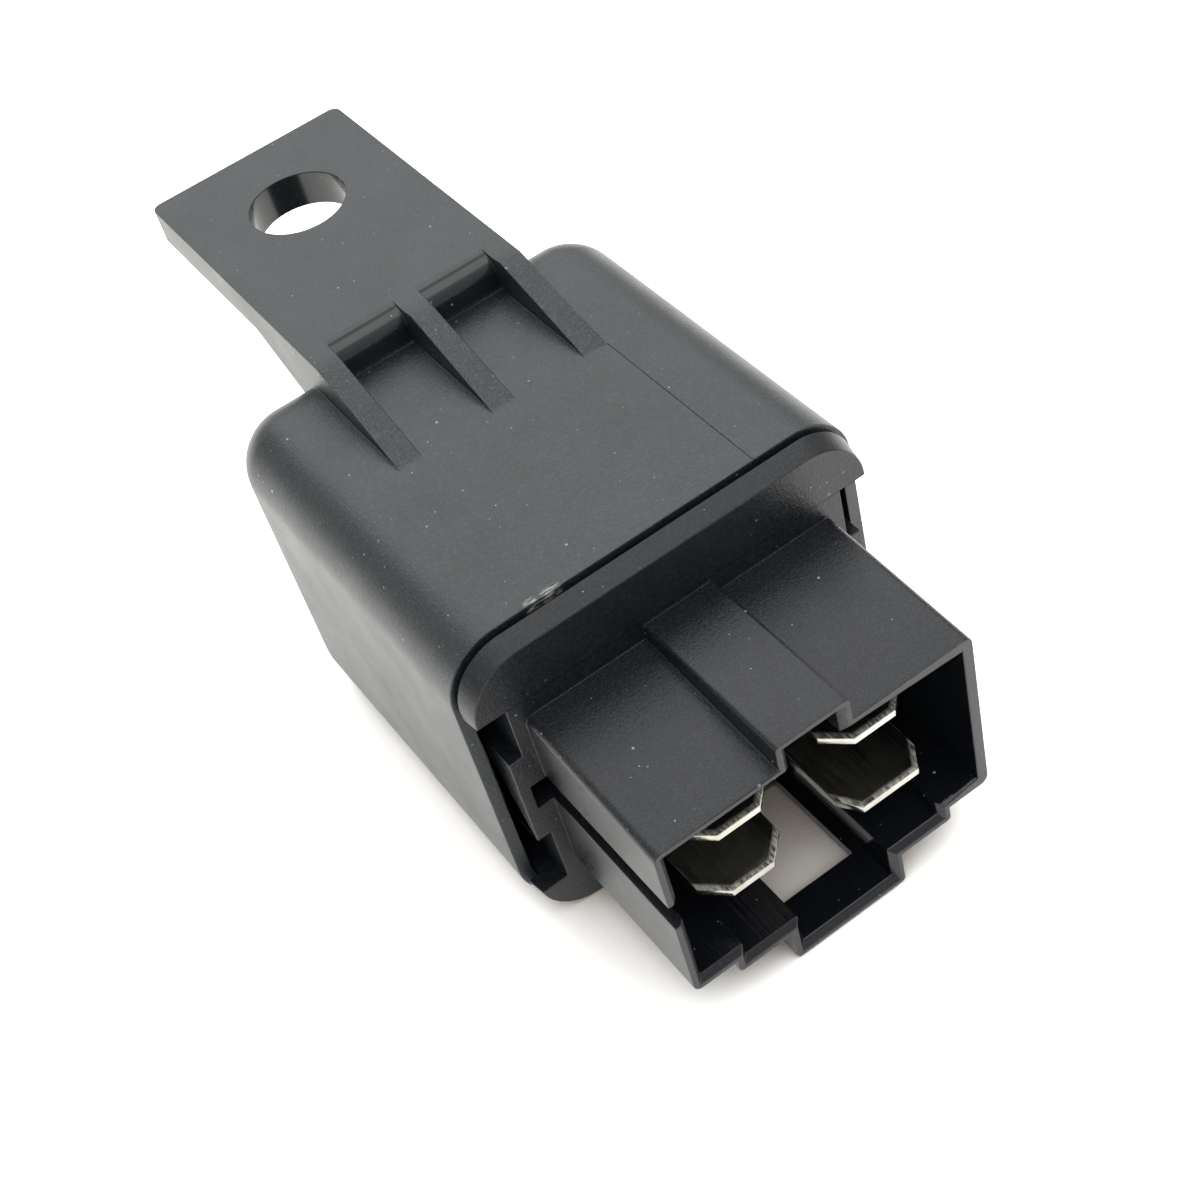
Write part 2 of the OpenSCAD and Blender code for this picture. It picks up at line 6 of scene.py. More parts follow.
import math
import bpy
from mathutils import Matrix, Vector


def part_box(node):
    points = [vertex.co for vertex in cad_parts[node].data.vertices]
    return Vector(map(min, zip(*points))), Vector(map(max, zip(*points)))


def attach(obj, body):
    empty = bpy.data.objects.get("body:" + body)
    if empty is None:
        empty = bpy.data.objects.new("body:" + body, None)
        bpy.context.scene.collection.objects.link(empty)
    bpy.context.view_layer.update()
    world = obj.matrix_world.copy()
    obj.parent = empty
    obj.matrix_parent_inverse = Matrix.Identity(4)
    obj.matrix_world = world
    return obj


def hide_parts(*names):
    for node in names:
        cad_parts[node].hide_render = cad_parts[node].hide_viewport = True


bl_info = {
    "name": "Automotive relay looks",
    "version": (1, 0, 0),
    "blender": (4, 5, 0),
    "location": "View3D > Sidebar > Relay",
    "description": "Finishes the moulded, stamped and wound pieces of a plug-in relay",
    "category": "Object",
}

import bmesh
import bpy
from bpy.props import FloatProperty, FloatVectorProperty, PointerProperty
from mathutils import Matrix, Vector
from mathutils.bvhtree import BVHTree

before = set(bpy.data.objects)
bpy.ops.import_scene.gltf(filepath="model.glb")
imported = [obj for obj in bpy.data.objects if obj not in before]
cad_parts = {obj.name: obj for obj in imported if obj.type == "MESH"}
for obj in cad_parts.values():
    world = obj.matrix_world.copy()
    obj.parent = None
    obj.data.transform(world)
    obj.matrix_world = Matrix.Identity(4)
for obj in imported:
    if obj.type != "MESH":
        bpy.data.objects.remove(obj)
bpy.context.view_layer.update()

MM = 0.001

# Places that the finish follows. A zone is two corners in millimetres, in the model's own axes.
RIB_ZONE = ((-8.0, -1.0, 24.0), (8.0, 9.0, 28.0))
RIB_LEVEL = 24.42 * MM
RIB_FADE = 0.08 * MM
POCKET_ZONE = ((-6.2, 10.9, 24.6), (6.2, 12.7, 27.1))
HOLE_ZONE = ((-3.56, 24.1, 24.0), (3.56, 31.3, 27.1))
SCUFF_ZONE = ((-8.3, -14.9, 24.0), (-6.3, -14.6, 24.5))
SOCKET_ZONE = ((-10.7, -29.3, 0.8), (10.7, -16.0, 16.6))

# The two parting lines that run back from the cover's mouth, in line with the tab's sides.
TAB_HALF = 7.95 * MM
COVER_TOP = 24.4 * MM
WITNESS_END = 0.75 * MM
WITNESS_REACH = 0.3 * MM
WITNESS_DEPTH = 0.04 * MM
LEFT_LINE_LIFT = 0.016 * MM

# The chamfer round the inside of the socket's mouth.
MOUTH_LEAD_IN = 0.42 * MM
MOUTH_HALF = 10.7 * MM

# Mesh work.
CAD_MERGE = 0.001 * MM
BASE_MERGE = 0.012 * MM
NEAR = 0.01 * MM
FLAT_DEGREES = 0.6
SHARP_DEGREES = 35
SMOOTH_DEGREES = 40

# Moulded plastic.
PBT_IOR = 1.58
BASE_SPECULAR = 0.37
GRAIN_MM = 0.17
GRAIN_DEPTH = 0.032 * MM
COARSE_DEPTH = 2.2
CLOUD_MM = 4.5
CLOUD_GLOSS = 0.04
DRAW_LINES_MM = (0.2, 5.0, 0.2)
CHIPS_MM = (0.9, 0.22, 0.22)
LINT_MM = 1.3
FINES_MM = 0.75

# Rolled, coined and wound metal.
STRIP_LINES_MM = (0.08, 2.0, 0.08)
SPRING_LINES_MM = (2.0, 0.08, 0.08)
TURNED_LINES_MM = (0.1, 0.1, 0.1)
BLADE_LINES_MM = (0.14, 3.0, 0.14)
SCORES_MM = (0.16, 1.2, 0.16)
TARNISH_MM = 1.6
ROLLED_DEPTH = 0.004 * MM
COINED_DEPTH = 14.0
COINED_ROUGHER = 0.45
COINED_METALLIC_LOSS = -0.6
WIRE_MM = 0.11
WAVE_TO_TURNS = 0.314
WIRE_DEPTH = 0.04 * MM
TAPE_TURNS_MM = (3.0, 0.4, 3.0)
TAPE_DEPTH = 0.01 * MM

# Floor, softboxes (name, place and size in metres) and camera (its place in millimetres).
FLOOR_SIZE = 3.0
FLOOR_DROP = 0.02 * MM
CONTACT_SHADE = 16.0 * MM
SOFTBOXES = (
    ("softbox_back", (0.12, 0.36, 0.42), (0.6, 0.5)),
    ("softbox_top", (0.02, -0.22, 0.56), (0.5, 0.4)),
)
CAMERA_MM = (-35.04, -91.96, 106.98)
CAMERA_FORWARD = (0.2601, 0.6468, -0.7169)
CAMERA_RIGHT = (0.8071, -0.5532, -0.2063)
LENS_MM = 61.0
SENSOR_MM = 36.0
CLIP = (0.005, 20.0)


# ---------------------------------------------------------------- colours and nodes


def hex_colour(text):
    """Turns an sRGB hex colour into the linear numbers that a shader takes."""
    made = []
    for start in (0, 2, 4):
        value = int(text[start : start + 2], 16) / 255
        made.append(value / 12.92 if value <= 0.04045 else ((value + 0.055) / 1.055) ** 2.4)
    return (*made, 1.0)


def add_node(tree, kind, inputs=None, output=0, **settings):
    """Adds a node, sets it up, fills or links its inputs, and returns one of its outputs."""
    node = tree.nodes.new(kind)
    for name, value in settings.items():
        setattr(node, name, value)
    for key, value in (inputs or {}).items():
        if isinstance(value, bpy.types.NodeSocket):
            tree.links.new(value, node.inputs[key])
        else:
            node.inputs[key].default_value = value
    return node.outputs[output] if len(node.outputs) else None


def new_material(name):
    """Makes an empty material and returns it with its tree, shader and Object coordinates."""
    material = bpy.data.materials.new(name)
    material.use_nodes = True
    tree = material.node_tree
    tree.nodes.clear()
    surface = add_node(tree, "ShaderNodeBsdfPrincipled")
    add_node(tree, "ShaderNodeOutputMaterial", {"Surface": surface})
    place = add_node(tree, "ShaderNodeTexCoord", output="Object")
    return material, tree, surface.node, place


# ---------------------------------------------------------------- patterns


def streaks(tree, place, cell_mm, detail, roughness=0.5):
    """Streaky noise: its cells have the given size in millimetres along X, Y and Z."""
    scale = [1 / (size * MM) for size in cell_mm]
    stretched = add_node(tree, "ShaderNodeMapping", {"Vector": place, "Scale": scale})
    return add_node(
        tree,
        "ShaderNodeTexNoise",
        {"Vector": stretched, "Scale": 1.0, "Detail": detail, "Roughness": roughness},
    )


def dust_specks(tree, place, cell_mm, least):
    """Grains of dust in some cells, most of them faint and a few white; least thins them out."""
    distance = add_node(
        tree, "ShaderNodeTexVoronoi", {"Vector": place, "Scale": 1 / (cell_mm * MM)}
    )
    near = add_node(
        tree,
        "ShaderNodeMapRange",
        {"Value": distance, "From Min": 0.045, "From Max": 0.085, "To Min": 1.0, "To Max": 0.0},
    )
    draw = add_node(
        tree, "ShaderNodeSeparateColor", {"Color": distance.node.outputs["Color"]}
    )
    strength = add_node(
        tree, "ShaderNodeMapRange", {"Value": draw, "From Min": least, "From Max": 1.0}
    )
    uneven = add_node(tree, "ShaderNodeMath", {0: strength, 1: 2.6}, operation="POWER")
    return add_node(tree, "ShaderNodeMath", {0: near, 1: uneven}, operation="MULTIPLY")


def inside_box(tree, place, zone, soft_mm):
    """1 inside a zone, two corners in millimetres, fading to 0 over soft_mm outside it."""
    middle = [(low + high) / 2 * MM for low, high in zip(*zone)]
    half = [(high - low) / 2 * MM for low, high in zip(*zone)]
    offset = add_node(tree, "ShaderNodeVectorMath", {0: place, 1: middle}, operation="SUBTRACT")
    reach = add_node(tree, "ShaderNodeVectorMath", {0: offset}, operation="ABSOLUTE")
    beyond = add_node(tree, "ShaderNodeVectorMath", {0: reach, 1: half}, operation="SUBTRACT")
    outside = add_node(
        tree, "ShaderNodeVectorMath", {0: beyond, 1: (0, 0, 0)}, operation="MAXIMUM"
    )
    distance = add_node(
        tree, "ShaderNodeVectorMath", {0: outside}, output="Value", operation="LENGTH"
    )
    fade = {"From Min": 0.0, "From Max": soft_mm * MM, "To Min": 1.0, "To Max": 0.0}
    return add_node(tree, "ShaderNodeMapRange", {"Value": distance, **fade})


def moulded_skin(
    tree, shader, place, colours, roughness, coarse=0.0, smooth=0.0, rubbed=0.0, drawn=0.0
):
    """
    Skin of black glass-filled polyester out of a spark-eroded mould: an even satin grain, drawn as
    coarse as it needs to show, with faint clouds and dust. The grain is deeper on coarse and gone
    on smooth, rubbed is scuffed white, and drawn has the fine lines of a polished core that was
    pulled straight out. The colours are the two clouds and the grain's crests.
    """
    grain = add_node(
        tree,
        "ShaderNodeTexNoise",
        {"Vector": place, "Scale": 1 / (GRAIN_MM * MM), "Detail": 3.0, "Roughness": 0.65},
    )
    cloud = add_node(
        tree,
        "ShaderNodeTexNoise",
        {"Vector": place, "Scale": 1 / (CLOUD_MM * MM), "Detail": 3.0, "Roughness": 0.6},
    )
    lines = streaks(tree, place, DRAW_LINES_MM, 2.0)

    cloud_share = add_node(
        tree, "ShaderNodeMapRange", {"Value": cloud, "From Min": 0.35, "From Max": 0.65}
    )
    tint = add_node(
        tree,
        "ShaderNodeMix",
        {0: cloud_share, 6: hex_colour(colours[0]), 7: hex_colour(colours[1])},
        output=2,
        data_type="RGBA",
    )
    crests = add_node(
        tree, "ShaderNodeMapRange", {"Value": grain, "From Min": 0.48, "From Max": 0.62}
    )
    kept = add_node(tree, "ShaderNodeMath", {0: 1.0, 1: smooth}, operation="SUBTRACT")
    even = add_node(tree, "ShaderNodeMath", {0: kept, 1: 0.55}, operation="MULTIPLY")
    more = add_node(
        tree, "ShaderNodeMath", {0: coarse, 1: 0.45, 2: even}, operation="MULTIPLY_ADD"
    )
    grain_share = add_node(tree, "ShaderNodeMath", {0: crests, 1: more}, operation="MULTIPLY")
    tint = add_node(
        tree,
        "ShaderNodeMix",
        {0: grain_share, 6: tint, 7: hex_colour(colours[2])},
        output=2,
        data_type="RGBA",
    )
    tint = add_node(
        tree,
        "ShaderNodeMix",
        {0: rubbed, 6: tint, 7: hex_colour("A9ABA6")},
        output=2,
        data_type="RGBA",
    )
    lint = dust_specks(tree, place, LINT_MM, 0.45)
    fines = dust_specks(tree, place, FINES_MM, 0.2)
    dust = add_node(tree, "ShaderNodeMath", {0: lint, 1: fines}, operation="MAXIMUM")
    tint = add_node(
        tree,
        "ShaderNodeMix",
        {0: dust, 6: tint, 7: hex_colour("B4B6B7")},
        output=2,
        data_type="RGBA",
    )

    gloss = add_node(
        tree,
        "ShaderNodeMapRange",
        {
            "Value": cloud,
            "From Min": 0.3,
            "From Max": 0.7,
            "To Min": roughness - CLOUD_GLOSS,
            "To Max": roughness + CLOUD_GLOSS,
        },
    )
    gloss = add_node(
        tree, "ShaderNodeMath", {0: smooth, 1: -0.18, 2: gloss}, operation="MULTIPLY_ADD"
    )

    depth = add_node(
        tree, "ShaderNodeMath", {0: coarse, 1: COARSE_DEPTH, 2: kept}, operation="MULTIPLY_ADD"
    )
    height = add_node(tree, "ShaderNodeMath", {0: grain, 1: depth}, operation="MULTIPLY")
    scored = add_node(
        tree, "ShaderNodeMath", {0: lines, 1: drawn, 2: height}, operation="MULTIPLY_ADD"
    )
    bumped = add_node(
        tree, "ShaderNodeBump", {"Height": scored, "Distance": GRAIN_DEPTH, "Strength": 1.0}
    )

    tree.links.new(tint, shader.inputs["Base Color"])
    tree.links.new(gloss, shader.inputs["Roughness"])
    tree.links.new(bumped, shader.inputs["Normal"])
    shader.inputs["IOR"].default_value = PBT_IOR


def rolled_skin(tree, shader, place, colour, stain, roughness, streak_mm, coined=0.0):
    """
    Skin of rolled strip: long fine lines and a faint tarnish, rougher and more deeply scored where
    a punch has coined it. Returns its colour.
    """
    lines = streaks(tree, place, streak_mm, 3.0, 0.6)
    spots = add_node(
        tree,
        "ShaderNodeTexNoise",
        {"Vector": place, "Scale": 1 / (TARNISH_MM * MM), "Detail": 3.0, "Roughness": 0.6},
    )
    stained = add_node(
        tree, "ShaderNodeMapRange", {"Value": spots, "From Min": 0.45, "From Max": 0.75}
    )
    tint = add_node(
        tree,
        "ShaderNodeMix",
        {0: stained, 6: hex_colour(colour), 7: hex_colour(stain)},
        output=2,
        data_type="RGBA",
    )
    gloss = add_node(
        tree,
        "ShaderNodeMapRange",
        {
            "Value": lines,
            "From Min": 0.3,
            "From Max": 0.7,
            "To Min": roughness - 0.05,
            "To Max": roughness + 0.07,
        },
    )
    gloss = add_node(
        tree,
        "ShaderNodeMath",
        {0: coined, 1: COINED_ROUGHER, 2: gloss},
        operation="MULTIPLY_ADD",
    )
    depth = add_node(
        tree, "ShaderNodeMath", {0: coined, 1: COINED_DEPTH, 2: 1.0}, operation="MULTIPLY_ADD"
    )
    height = add_node(tree, "ShaderNodeMath", {0: lines, 1: depth}, operation="MULTIPLY")
    bumped = add_node(
        tree, "ShaderNodeBump", {"Height": height, "Distance": ROLLED_DEPTH, "Strength": 1.0}
    )
    tree.links.new(tint, shader.inputs["Base Color"])
    tree.links.new(gloss, shader.inputs["Roughness"])
    tree.links.new(bumped, shader.inputs["Normal"])
    shader.inputs["Metallic"].default_value = 1.0
    return tint


# ---------------------------------------------------------------- materials


def cover_plastic(roughness):
    """
    Glass-filled PBT, spark-textured: satin black, coarser on the ribs' tops, glossy where a
    polished pin formed the hole and the pockets' ends, and scuffed white at the mouth's edge.
    """
    material, tree, shader, place = new_material("spark-textured PBT cover")
    raised = add_node(tree, "ShaderNodeSeparateXYZ", {"Vector": place}, output="Z")
    above = add_node(
        tree,
        "ShaderNodeMapRange",
        {"Value": raised, "From Min": RIB_LEVEL, "From Max": RIB_LEVEL + RIB_FADE},
    )
    beside = inside_box(tree, place, RIB_ZONE, 2.5)
    ribs = add_node(tree, "ShaderNodeMath", {0: above, 1: beside}, operation="MULTIPLY")

    hole = inside_box(tree, place, HOLE_ZONE, 0.02)
    pocket = inside_box(tree, place, POCKET_ZONE, 0.05)
    pins = add_node(tree, "ShaderNodeMath", {0: hole, 1: pocket}, operation="MAXIMUM")
    normal = add_node(tree, "ShaderNodeTexCoord", output="Normal")
    upward = add_node(tree, "ShaderNodeSeparateXYZ", {"Vector": normal}, output="Z")
    steep = add_node(
        tree,
        "ShaderNodeMapRange",
        {"Value": upward, "From Min": 0.985, "From Max": 0.998, "To Min": 1.0, "To Max": 0.0},
    )
    polished = add_node(tree, "ShaderNodeMath", {0: pins, 1: steep}, operation="MULTIPLY")

    patchy = streaks(tree, place, CHIPS_MM, 4.0, 0.7)
    chips = add_node(
        tree, "ShaderNodeMapRange", {"Value": patchy, "From Min": 0.46, "From Max": 0.6}
    )
    scuff = inside_box(tree, place, SCUFF_ZONE, 0.35)
    rubbed = add_node(tree, "ShaderNodeMath", {0: scuff, 1: chips}, operation="MULTIPLY")
    moulded_skin(
        tree,
        shader,
        place,
        ("101A1D", "151B1D", "303D40"),
        roughness,
        coarse=ribs,
        smooth=polished,
        rubbed=rubbed,
    )
    return material


def base_plastic(roughness):
    """
    The same PBT in the base's mould: a little blacker and less shiny, with a polished core's draw
    lines inside the socket.
    """
    material, tree, shader, place = new_material("spark-textured PBT base")
    socket = inside_box(tree, place, SOCKET_ZONE, 0.06)
    colours = ("111419", "14161A", "2D3035")
    moulded_skin(tree, shader, place, colours, roughness, smooth=socket, drawn=socket)
    shader.inputs["Specular IOR Level"].default_value = BASE_SPECULAR
    return material


def dull_nylon():
    """Glass-filled nylon, moulded: dark grey and dull, with the fibres near the surface."""
    material, tree, shader, place = new_material("glass-filled nylon bobbin")
    moulded_skin(tree, shader, place, ("3A3A3C", "3D3C3B", "4B4B4C"), 0.5)
    return material


def plated_metal(name, colour, stain, roughness, streak_mm):
    """Rolled or turned metal with a bright skin: fine lines and a faint uneven tarnish."""
    material, tree, shader, place = new_material(name)
    rolled_skin(tree, shader, place, colour, stain, roughness, streak_mm)
    return material


def tin_plate(roughness):
    """
    Tin-plated brass strip, stamped: bright and slightly warm, scored, dull and grimy on the coined
    slopes round the blades' tips.
    """
    material, tree, shader, place = new_material("tin-plated brass")
    normal = add_node(tree, "ShaderNodeTexCoord", output="Normal")
    upward = add_node(tree, "ShaderNodeSeparateXYZ", {"Vector": normal}, output="Z")
    level = add_node(tree, "ShaderNodeMath", {0: upward}, operation="ABSOLUTE")
    tilted = add_node(
        tree,
        "ShaderNodeMapRange",
        {"Value": level, "From Min": 0.988, "From Max": 0.996, "To Min": 1.0, "To Max": 0.0},
    )
    not_edge = add_node(
        tree, "ShaderNodeMapRange", {"Value": level, "From Min": 0.88, "From Max": 0.93}
    )
    coined = add_node(tree, "ShaderNodeMath", {0: tilted, 1: not_edge}, operation="MULTIPLY")
    tint = rolled_skin(
        tree, shader, place, "D2D0C8", "BCB7A8", roughness, BLADE_LINES_MM, coined
    )
    scores = streaks(tree, place, SCORES_MM, 2.0)
    cut = add_node(
        tree, "ShaderNodeMapRange", {"Value": scores, "From Min": 0.36, "From Max": 0.66}
    )
    grimy = add_node(tree, "ShaderNodeMath", {0: coined, 1: cut}, operation="MULTIPLY")
    tint = add_node(
        tree,
        "ShaderNodeMix",
        {0: grimy, 6: tint, 7: hex_colour("35332E")},
        output=2,
        data_type="RGBA",
    )
    bare = add_node(
        tree,
        "ShaderNodeMath",
        {0: coined, 1: COINED_METALLIC_LOSS, 2: 1.0},
        operation="MULTIPLY_ADD",
    )
    tree.links.new(tint, shader.inputs["Base Color"])
    tree.links.new(bare, shader.inputs["Metallic"])
    return material


def lacquered_wire():
    """Enamelled copper wire in close turns: fine glossy ridges, with painted shade darkening the
    grooves between them.
    """
    material, tree, shader, place = new_material("enamelled copper wire")
    ridges_and_groove_shade = add_node(
        tree,
        "ShaderNodeTexWave",
        {"Vector": place, "Scale": WAVE_TO_TURNS / (WIRE_MM * MM), "Distortion": 0.0},
        output="Fac",
        wave_type="BANDS",
        bands_direction="Y",
        wave_profile="SIN",
    )
    # Painted shade: the grooves between turns take a darker brown than the ridges.
    tint = add_node(
        tree,
        "ShaderNodeMix",
        {0: ridges_and_groove_shade, 6: hex_colour("5A2A12"), 7: hex_colour("B5602C")},
        output=2,
        data_type="RGBA",
    )
    bumped = add_node(
        tree, "ShaderNodeBump", {"Height": ridges_and_groove_shade, "Distance": WIRE_DEPTH, "Strength": 1.0}
    )
    tree.links.new(tint, shader.inputs["Base Color"])
    tree.links.new(bumped, shader.inputs["Normal"])
    shader.inputs["Metallic"].default_value = 0.6
    shader.inputs["Roughness"].default_value = 0.28
    shader.inputs["Coat Weight"].default_value = 0.5
    shader.inputs["Coat Roughness"].default_value = 0.12
    return material


def film_tape():
    """Polyester film tape over the coil: glossy and amber, with the turns showing through."""
    material, tree, shader, place = new_material("polyester film tape")
    turns = streaks(tree, place, TAPE_TURNS_MM, 2.0)
    share = add_node(
        tree, "ShaderNodeMapRange", {"Value": turns, "From Min": 0.35, "From Max": 0.65}
    )
    tint = add_node(
        tree,
        "ShaderNodeMix",
        {0: share, 6: hex_colour("C9A53A"), 7: hex_colour("B8912C")},
        output=2,
        data_type="RGBA",
    )
    bumped = add_node(
        tree, "ShaderNodeBump", {"Height": turns, "Distance": TAPE_DEPTH, "Strength": 1.0}
    )
    tree.links.new(tint, shader.inputs["Base Color"])
    tree.links.new(bumped, shader.inputs["Normal"])
    shader.inputs["Roughness"].default_value = 0.22
    return material


# ---------------------------------------------------------------- mesh work


def deselect_all():
    """Leaves object mode with nothing selected."""
    if bpy.context.object and bpy.context.object.mode != "OBJECT":
        bpy.ops.object.mode_set(mode="OBJECT")
    bpy.ops.object.select_all(action="DESELECT")


def merged_copy(node, name, merge=CAD_MERGE):
    """Copies a CAD node's mesh into a new object and joins its loose triangles into faces."""
    deselect_all()
    piece = bpy.data.objects.new(name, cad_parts[node].data.copy())
    bpy.context.collection.objects.link(piece)
    piece.data.materials.clear()
    bpy.context.view_layer.objects.active = piece
    piece.select_set(True)
    bpy.ops.object.mode_set(mode="EDIT")
    bpy.ops.mesh.select_all(action="SELECT")
    bpy.ops.mesh.remove_doubles(threshold=merge)
    bpy.ops.mesh.dissolve_limited(angle_limit=math.radians(FLAT_DEGREES))
    bpy.ops.mesh.customdata_custom_splitnormals_clear()
    bpy.ops.object.mode_set(mode="OBJECT")
    return piece


def edit_edges(piece, chosen):
    """Enters edit mode with the edges selected for which chosen(edge) is true."""
    bpy.ops.object.mode_set(mode="EDIT")
    bpy.ops.mesh.select_mode(type="EDGE")
    mesh = bmesh.from_edit_mesh(piece.data)
    picked = [edge for edge in mesh.edges if chosen(edge)]
    bpy.ops.mesh.select_all(action="DESELECT")
    for edge in picked:
        edge.select_set(True)
    bmesh.update_edit_mesh(piece.data)


def middle_of(edge):
    """Middle of an edge."""
    return (edge.verts[0].co + edge.verts[1].co) / 2


def soften_edges(piece, width, keep_out=()):
    """
    Bevels the sharp edges of a piece, except inside the boxes of keep_out, and keeps the piece
    inside its own box.
    """
    low_corner, high_corner = piece.bound_box[0][:], piece.bound_box[6][:]

    def is_softened(edge):
        middle = middle_of(edge)
        inside = any(
            all(low[axis] <= middle[axis] <= high[axis] for axis in range(3))
            for low, high in keep_out
        )
        return not inside and edge.calc_face_angle(0.0) > math.radians(SHARP_DEGREES)

    edit_edges(piece, is_softened)
    bpy.ops.mesh.bevel(offset=width, segments=2, affect="EDGES", clamp_overlap=False)
    bpy.ops.object.mode_set(mode="OBJECT")
    for vertex in piece.data.vertices:
        for axis in range(3):
            held = max(vertex.co[axis], low_corner[axis])
            vertex.co[axis] = min(held, high_corner[axis])


def open_the_mouth(piece, mouth_y):
    """Chamfers the inner edges of the socket's mouth, which leaves the thin lip for a plug."""
    bpy.context.view_layer.update()
    walls_of_piece = BVHTree.FromObject(piece, bpy.context.evaluated_depsgraph_get())

    def is_inner(edge):
        middle = middle_of(edge)
        off_the_mouth = max(abs(end.co.y - mouth_y) for end in edge.verts) > NEAR
        if off_the_mouth or abs(middle.x) > MOUTH_HALF:
            return False
        walls = [face.normal for face in edge.link_faces if abs(face.normal.y) < 0.5]
        if not walls:
            return False
        start = middle + walls[0] * NEAR + Vector((0, MOUTH_LEAD_IN, 0))
        return walls_of_piece.ray_cast(start, walls[0])[0] is not None

    edit_edges(piece, is_inner)
    bpy.ops.mesh.bevel(offset=MOUTH_LEAD_IN, segments=1, affect="EDGES", clamp_overlap=False)
    bpy.ops.object.mode_set(mode="OBJECT")


def lift_left_line(piece):
    """Raises the bottom of the cover's left parting line until the line is only just there."""

    def is_bottom(edge):
        return all(
            abs(end.co.x + TAB_HALF) < WITNESS_REACH
            and end.co.y < WITNESS_END
            and -WITNESS_DEPTH < end.co.z - COVER_TOP < -NEAR / 2
            for end in edge.verts
        )

    edit_edges(piece, is_bottom)
    bpy.ops.transform.translate(value=(0, 0, LEFT_LINE_LIFT))
    bpy.ops.object.mode_set(mode="OBJECT")


def smooth_finish(piece):
    """Shades a piece smooth up to an angle, with the big faces kept flat."""
    bpy.ops.object.shade_smooth_by_angle(angle=math.radians(SMOOTH_DEGREES))
    bpy.ops.object.modifier_add(type="WEIGHTED_NORMAL")
    piece.modifiers[-1].keep_sharp = True
    bpy.ops.object.modifier_apply(modifier=piece.modifiers[-1].name)


def hand_over(piece, node, material):
    """Lets a finished piece of the housing stand for its CAD node."""
    piece.data.materials.clear()
    piece.data.materials.append(material)
    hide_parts(node)
    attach(piece, "housing")


def dress(nodes, material):
    """Gives CAD nodes that keep their mesh a better material."""
    for name in nodes:
        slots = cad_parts[name].data.materials
        if len(slots) == 0:
            slots.append(material)
        for index in range(len(slots)):
            slots[index] = material


# ---------------------------------------------------------------- stage


def lay_floor(settings):
    """
    White card under the relay. The light that it throws back is its own colour. The camera and the
    reflections see it white in the open. Close round the relay the camera sees a painted warm,
    dark shade, mixed in where ambient occlusion finds the relay near.
    """
    deselect_all()
    bpy.ops.mesh.primitive_plane_add(size=FLOOR_SIZE, location=(0, 0, -FLOOR_DROP))
    floor = bpy.context.object
    floor.name = "floor"
    material = bpy.data.materials.new("matt white card floor with painted contact shade")
    material.use_nodes = True
    tree = material.node_tree
    tree.nodes.clear()
    camera = add_node(tree, "ShaderNodeLightPath", output="Is Camera Ray")
    path = camera.node.outputs
    mirrored = path["Is Glossy Ray"]
    seen = add_node(tree, "ShaderNodeMath", {0: camera, 1: mirrored}, operation="MAXIMUM")
    seen = add_node(
        tree, "ShaderNodeMath", {0: seen, 1: path["Is Transmission Ray"]}, operation="MAXIMUM"
    )
    # Painted shade: ambient occlusion darkens and warms the floor's colour to the camera close
    # round the relay.
    openness = add_node(
        tree,
        "ShaderNodeAmbientOcclusion",
        {"Distance": CONTACT_SHADE},
        output="AO",
        samples=5,
    )
    shade = add_node(
        tree, "ShaderNodeMapRange", {"Value": openness, "From Min": 0.05, "From Max": 0.45}
    )
    opened = add_node(tree, "ShaderNodeMath", {0: shade, 1: mirrored}, operation="MAXIMUM")
    painted_floor_shade = add_node(
        tree,
        "ShaderNodeMix",
        {0: opened, 6: (*settings.floor_painted_shade, 1), 7: (*settings.floor_shown, 1)},
        output=2,
        data_type="RGBA",
    )
    matt = add_node(tree, "ShaderNodeBsdfDiffuse", {"Color": (*settings.floor_tint, 1)})
    shown = add_node(tree, "ShaderNodeBsdfDiffuse", {"Color": painted_floor_shade})
    mixed = add_node(tree, "ShaderNodeMixShader", {0: seen, 1: matt, 2: shown})
    add_node(tree, "ShaderNodeOutputMaterial", {"Surface": mixed})
    floor.data.materials.append(material)


def light_studio(scene, settings):
    """Even light that falls off towards the horizon, a white background and the softboxes."""
    world = bpy.data.worlds.new("studio")
    scene.world = world
    world.use_nodes = True
    tree = world.node_tree
    tree.nodes.clear()
    camera = add_node(tree, "ShaderNodeLightPath", output="Is Camera Ray")
    direction = add_node(tree, "ShaderNodeTexCoord", output="Generated")
    height = add_node(tree, "ShaderNodeSeparateXYZ", {"Vector": direction}, output="Z")
    level = add_node(
        tree,
        "ShaderNodeMapRange",
        {"Value": height, "To Min": settings.horizon, "To Max": settings.sky},
    )
    even = add_node(tree, "ShaderNodeBackground", {"Color": (1, 1, 1, 1), "Strength": level})
    white = add_node(tree, "ShaderNodeBackground", {"Color": (1, 1, 1, 1), "Strength": 1.0})
    mixed = add_node(tree, "ShaderNodeMixShader", {0: camera, 1: even, 2: white})
    add_node(tree, "ShaderNodeOutputWorld", {"Surface": mixed})
    for name, place, size in SOFTBOXES:
        add_softbox(scene, name, place, size, settings.lamp)


def add_softbox(scene, name, place, size, level):
    """Area lamp whose face has the given brightness, aimed at the relay."""
    lamp = bpy.data.lights.new(name, "AREA")
    lamp.shape = "RECTANGLE"
    lamp.size, lamp.size_y = size
    lamp.energy = level * math.pi * size[0] * size[1]
    holder = bpy.data.objects.new(name, lamp)
    scene.collection.objects.link(holder)
    holder.location = place
    holder.rotation_euler = (-Vector(place)).to_track_quat("-Z", "Y").to_euler()


